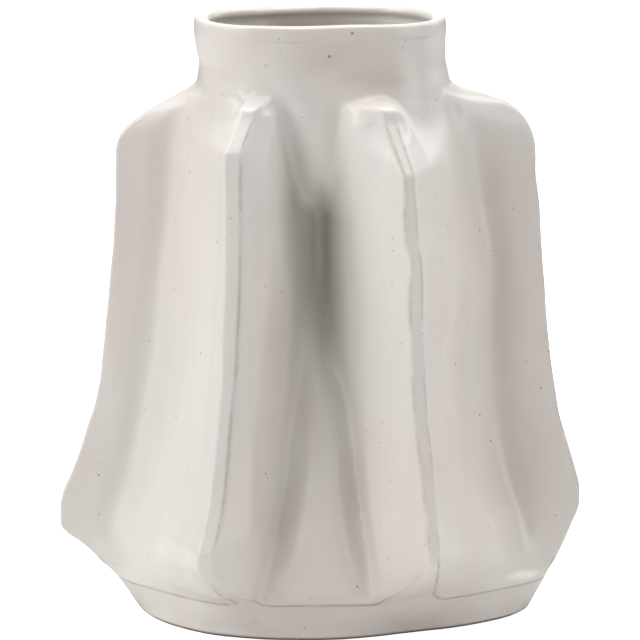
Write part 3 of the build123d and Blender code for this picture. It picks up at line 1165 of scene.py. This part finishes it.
def tone_group():
    """Cloudy change from the thick cream glaze to its rose and sage tones, and to the grey of painted shade
    where the mark falls below zero.
    """
    tones = ("Cream", "Rose", "Sage", "Pool")
    group, start, end = new_group(
        "Glaze Tone",
        (("Place", "Vector", None), *((name, "Color", None) for name in tones), ("Thin", "Float", 0.0)),
        (("Colour", "Color"),))
    cream, rose, sage, pool = [start[name] for name in tones]
    clouds = ranged(group, noise_field(group, start["Place"], *CLOUDS), 0.36, 0.66)
    warm = ranged(group, noise_field(group, start["Place"], *WARMTH), 0.38, 0.68)
    streaks = ranged(group, noise_field(group, start["Place"], *STREAKS), 0.3, 0.75)
    rosy = worked(group, "ADD", worked(group, "MULTIPLY", clouds, 0.4), start["Thin"])
    colour = colour_mix(group, worked(group, "MULTIPLY", warm, 0.5), cream, sage)
    colour = colour_mix(group, worked(group, "MINIMUM", rosy, 1.0), colour, rose)
    colour = colour_mix(group, worked(group, "MULTIPLY", streaks, 0.3), colour, rose)
    # Painted shade: below zero the Thin mark turns the colour towards grey, in place of the shadow in the
    # hollows.
    shade_share = ranged(group, start["Thin"], -1.0, 0.0, 1.0, 0.0)
    group.links.new(colour_mix(group, shade_share, colour, pool), end["Colour"])
    return group


def broken_edge_group():
    """Where the glaze broke thin: on the arrises and along the seams, in uneven runs."""
    group, start, end = new_group(
        "Broken Edge",
        (("Place", "Vector", None), ("Arris", "Float", 0.0), ("Seam", "Float", 0.0)),
        (("Thin", "Float"),))
    runs = ranged(group, noise_field(group, start["Place"], *RUNS), 0.32, 0.62)
    crumbs = ranged(group, noise_field(group, start["Place"], *CRUMBS), 0.38, 0.62, 0.75, 1.0)
    arris = worked(group, "MULTIPLY", worked(group, "MULTIPLY", start["Arris"], runs), crumbs)
    aside = worked(group, "ABSOLUTE", worked(group, "SUBTRACT", start["Seam"], SEAM_ZERO), 0.0)
    line = ranged(group, aside, *LINE_WIDTH, 1.0, 0.0)
    seam = worked(group, "MULTIPLY", line, ranged(group, runs, 0.0, 1.0, 0.5, 1.0))
    arris = worked(group, "MULTIPLY", arris, ARRIS_BREAK)
    seam = worked(group, "MULTIPLY", seam, SEAM_BREAK)
    group.links.new(worked(group, "MAXIMUM", arris, seam), end["Thin"])
    return group


def placed(tree, name, maker, **links):
    """Output of a shader group, made on first use and put into a tree with its inputs set or linked."""
    node = add_node(tree, "Group", node_tree=bpy.data.node_groups.get(name) or maker())
    for key, value in links.items():
        feed(tree, node.inputs[key], value)
    return node.outputs[0]


def bare_material(name):
    """A new node material with its shader and Object coordinates."""
    material = bpy.data.materials.new(name)
    material.use_nodes = True
    tree = material.node_tree
    shader = tree.nodes["Principled BSDF"]
    place = add_node(tree, "TexCoord").outputs["Object"]
    return material, tree, shader, place


def add_bump(tree, shader, height, strength, distance):
    """Small relief on a shader's surface."""
    bump = add_node(tree, "Bump", in_Strength=strength, in_Distance=distance)
    tree.links.new(height, bump.inputs["Height"])
    tree.links.new(bump.outputs[0], shader.inputs["Normal"])


def clay_colour(tree, place, look):
    """Bare clay: dark stoneware with sandy grain."""
    grain = ranged(tree, noise_field(tree, place, *GRAIN), 0.35, 0.7)
    pale = tuple(min(1.0, part * GRAIN_PALER) for part in look.clay)
    return colour_mix(tree, grain, (*look.clay, 1), (*pale, 1)), grain


def glaze_material(look):
    """Speckled off-white glaze, thin on the arrises and the seams, bare at the very foot."""
    known = bpy.data.materials.get("Speckled Glaze")
    if known:
        return known
    material, tree, shader, place = bare_material("Speckled Glaze")
    # The last of these marks is thin glaze above zero and painted shade below it.
    arris, seam, bare, rosy = [
        add_node(tree, "Attribute", attribute_name=name).outputs["Fac"]
        for name in ("arris", "seam", "bare", "rosy")
    ]
    tone = placed(
        tree, "Glaze Tone", tone_group, Place=place, Cream=(*look.cream, 1), Rose=(*look.rose, 1),
        Sage=(*look.sage, 1), Pool=(*look.pool, 1), Thin=rosy)
    thin = placed(tree, "Broken Edge", broken_edge_group, Place=place, Arris=arris, Seam=seam)
    large, small = [
        placed(tree, "Iron Specks", specks_group, Place=place, Scale=scale, Size=size, Share=share)
        for scale, size, share in SPECKS
    ]
    specks = worked(tree, "MAXIMUM", large, worked(tree, "MULTIPLY", small, 0.6))
    colour = colour_mix(tree, thin, tone, (*look.edge, 1))
    colour = colour_mix(tree, worked(tree, "MULTIPLY", specks, 0.8), colour, (*look.iron, 1))
    colour = colour_mix(tree, bare, colour, clay_colour(tree, place, look)[0])
    tree.links.new(colour, shader.inputs["Base Color"])
    satin = ranged(
        tree, noise_field(tree, place, *SATIN), 0.3, 0.7, look.roughness - SATIN_CHANGE,
        look.roughness + SATIN_CHANGE)
    satin = worked(tree, "MAXIMUM", satin, worked(tree, "MULTIPLY", bare, BARE_ROUGHNESS))
    tree.links.new(satin, shader.inputs["Roughness"])
    shader.inputs["Coat Weight"].default_value = COAT
    shader.inputs["Coat Roughness"].default_value = COAT_ROUGHNESS
    peel = worked(tree, "MULTIPLY", noise_field(tree, place, *PEEL), 0.5)
    brushed = worked(tree, "MULTIPLY", noise_field(tree, place, *BRUSHED), 0.35)
    relief = worked(tree, "ADD", peel, brushed)
    relief = worked(tree, "SUBTRACT", relief, worked(tree, "MULTIPLY", specks, 0.25))
    add_bump(tree, shader, relief, *GLAZE_RELIEF)
    return material


def clay_material(look):
    """Bare stoneware of the underside."""
    material, tree, shader, place = bare_material("Bare Stoneware")
    clay, grain = clay_colour(tree, place, look)
    tree.links.new(clay, shader.inputs["Base Color"])
    tree.links.new(ranged(tree, grain, 0.0, 1.0, 0.75, 0.92), shader.inputs["Roughness"])
    add_bump(tree, shader, grain, *CLAY_RELIEF)
    return material


def stage_material():
    """Pale floor that the camera sees as white, with the vase's shadow kept."""
    material, tree, shader, place = bare_material("White Sweep")
    shader.inputs["Roughness"].default_value = 0.9
    shader.inputs["Specular IOR Level"].default_value = 0.1
    mottle = ranged(tree, noise_field(tree, place, 3.0), 0.0, 1.0)
    colour = colour_mix(tree, mottle, *FLOOR_COLOURS)
    tree.links.new(colour, shader.inputs["Base Color"])
    shader.inputs["Emission Color"].default_value = (1, 1, 1, 1)
    seen = add_node(tree, "LightPath").outputs["Is Camera Ray"]
    tree.links.new(worked(tree, "MULTIPLY", seen, FLOOR_GLOW), shader.inputs["Emission Strength"])
    return material


# Softboxes: name, turn from the camera and height over the vase in degrees, power in watts.
SOFTBOXES = (
    ("left_main", -70, 32, 10.8),
    ("left_front", -45, 8, 4.6),
    ("left_low", -70, 8, 1.4),
    ("left_high", -95, 60, 7.8),
    ("front_high", 5, 62, 3.0),
    ("right_low", 58, 9, 5.8),
    ("right_side", 114, 26, 6.0),
    ("right_high", 105, 60, 9.2),
    ("back_left", -125, 30, 1.6),
    ("overhead", 180, 84, 17.0),
    ("behind", 180, 22, 3.0),
)
SOFTBOX_AWAY = 1.8
SOFTBOX_WIDTH = 0.9
SOFTBOX_HEIGHT = 1.0
SOFTBOX_COLOUR = (1.0, 0.995, 0.985)

# Middle of the vase, which the softboxes look at, and the width of the floor.
MIDDLE = Vector((0, 0, 0.14))
STAGE_WIDTH = 14.0
# Strength of the white room in gloss, and as light on the vase.
ROOM_IN_GLOSS = 0.3
ROOM_LIGHT = 0.13
# Width of the camera's sensor in millimetres, and how far it sees in metres.
SENSOR = 36
SIGHT = 50


def look_at(item, target):
    """Turns a lamp or a camera to a point."""
    item.rotation_euler = (target - item.location).to_track_quat("-Z", "Y").to_euler()


def softbox(name, turn, rise, power):
    """A soft lamp at a turn and a rise from the middle of the vase, looking at it."""
    data = bpy.data.lights.new(name, "AREA")
    data.shape = "RECTANGLE"
    data.size = SOFTBOX_WIDTH
    data.size_y = SOFTBOX_HEIGHT
    data.energy = power
    data.color = SOFTBOX_COLOUR
    lamp = bpy.data.objects.new(name, data)
    bpy.context.scene.collection.objects.link(lamp)
    flat = ahead(turn, cos(radians(rise)) * SOFTBOX_AWAY)
    lamp.location = MIDDLE + Vector((flat.x, flat.y, SOFTBOX_AWAY * sin(radians(rise))))
    look_at(lamp, MIDDLE)


def white_room():
    """White surroundings for the camera, dimmer in gloss and dim as light on the vase."""
    world = bpy.data.worlds.new("White Room")
    world.use_nodes = True
    tree = world.node_tree
    background = tree.nodes["Background"]
    rays = add_node(tree, "LightPath").outputs
    seen = worked(tree, "MAXIMUM", rays["Is Camera Ray"], rays["Is Transmission Ray"])
    plain = worked(tree, "MULTIPLY", rays["Is Glossy Ray"], ROOM_IN_GLOSS)
    lit = worked(tree, "MAXIMUM", worked(tree, "MAXIMUM", seen, plain), ROOM_LIGHT)
    background.inputs["Color"].default_value = (1, 1, 1, 1)
    tree.links.new(lit, background.inputs["Strength"])
    return world


class VASE_OT_studio(bpy.types.Operator):
    """Sets up the floor, the soft lamps, the white surroundings and the camera"""

    bl_idname = "vase.studio"
    bl_label = "Studio"

    def execute(self, context):
        scene = context.scene
        look = scene.studio_look
        floor = fresh("plane", size=STAGE_WIDTH, location=(0, 0, 0))
        floor.name = "studio_floor"
        floor.data.materials.append(stage_material())
        for lamp in SOFTBOXES:
            softbox(*lamp)
        scene.world = white_room()
        scene.view_settings.view_transform = "Standard"
        data = bpy.data.cameras.new("photo_camera")
        camera = bpy.data.objects.new("photo_camera", data)
        scene.collection.objects.link(camera)
        aim = Vector((0, 0, look.aim))
        up = look.distance * sin(look.elevation) / cos(look.elevation)
        camera.location = aim + Vector((0, -look.distance, up))
        look_at(camera, aim)
        data.sensor_width = SENSOR
        data.lens = SENSOR * (aim - camera.location).length / look.frame_width
        data.clip_end = SIGHT
        scene.camera = camera
        return {"FINISHED"}


class VASE_PT_sidebar(bpy.types.Panel):
    """Sizes, colours and steps of the vase"""

    bl_label = "Finned slab vase"
    bl_idname = "VASE_PT_sidebar"
    bl_space_type = "VIEW_3D"
    bl_region_type = "UI"
    bl_category = "Vase"

    def draw(self, context):
        scene = context.scene
        for group in (scene.vase_sizes, scene.glaze_look, scene.studio_look):
            box = self.layout.box()
            for name in group.bl_rna.properties.keys():
                if name not in ("rna_type", "name"):
                    box.prop(group, name)
        for step in STEPS:
            self.layout.operator(step.bl_idname)


STEPS = (
    VASE_OT_broad_slabs,
    VASE_OT_side_slabs,
    VASE_OT_foot,
    VASE_OT_neck,
    VASE_OT_lip,
    VASE_OT_studio,
)
CLASSES = (VaseSizes, GlazeLook, StudioLook, *STEPS, VASE_PT_sidebar)


def register():
    """Makes the classes known and hangs their settings on the scene."""
    for item in CLASSES:
        bpy.utils.register_class(item)
    bpy.types.Scene.vase_sizes = bpy.props.PointerProperty(type=VaseSizes)
    bpy.types.Scene.glaze_look = bpy.props.PointerProperty(type=GlazeLook)
    bpy.types.Scene.studio_look = bpy.props.PointerProperty(type=StudioLook)


def unregister():
    """Takes the settings and the classes away again."""
    del bpy.types.Scene.studio_look
    del bpy.types.Scene.glaze_look
    del bpy.types.Scene.vase_sizes
    for item in reversed(CLASSES):
        bpy.utils.unregister_class(item)


def main():
    register()
    bpy.ops.vase.broad_slabs()
    bpy.ops.vase.side_slabs()
    bpy.ops.vase.foot()
    bpy.ops.vase.neck()
    bpy.ops.vase.lip()
    bpy.ops.vase.studio()


if __name__ == "__main__":
    main()
